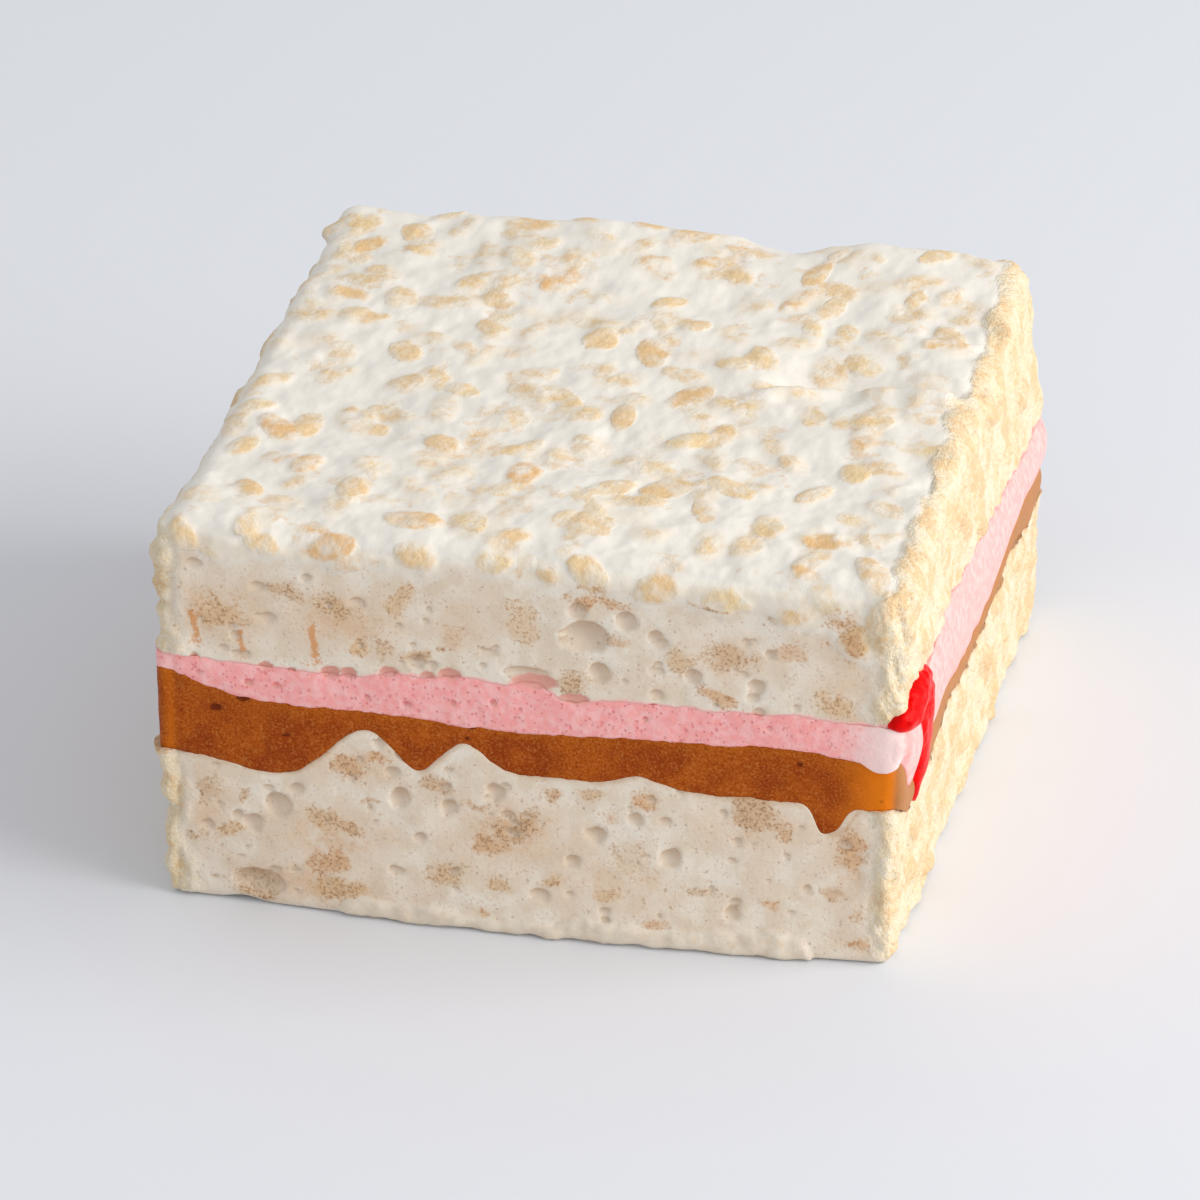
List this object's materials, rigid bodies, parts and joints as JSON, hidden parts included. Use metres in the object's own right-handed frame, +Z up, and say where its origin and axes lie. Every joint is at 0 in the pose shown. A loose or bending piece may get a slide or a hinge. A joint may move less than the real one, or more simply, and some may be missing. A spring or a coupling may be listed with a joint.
{
  "type": "crispy rice treat",
  "caption": "Square crispy rice treat: slabs of puffed rice in marshmallow, with pink marshmallow, caramel and a run of red jam between them.",
  "frame": {"origin": "middle of the underside, on the surface the treat rests on", "axes": "+Z up; -Y out of the clean cut front face; +X towards the side where the jam has run out"},
  "size_m": [0.0836, 0.083, 0.0468],
  "materials": {
    "rice_marshmallow": "soft white marshmallow foam with tan puffed rice showing through",
    "caramel": "set caramel, cut with a knife, low sheen",
    "pink_marshmallow": "fine pink marshmallow foam with small pores",
    "jam": "wet glossy red jam"
  },
  "bodies": {
    "root": {"lower_slab": "rice_marshmallow", "caramel_layer": "caramel", "pink_marshmallow": "pink_marshmallow", "upper_slab": "rice_marshmallow", "jam_pocket": "jam"}
  },
  "joints": []
}
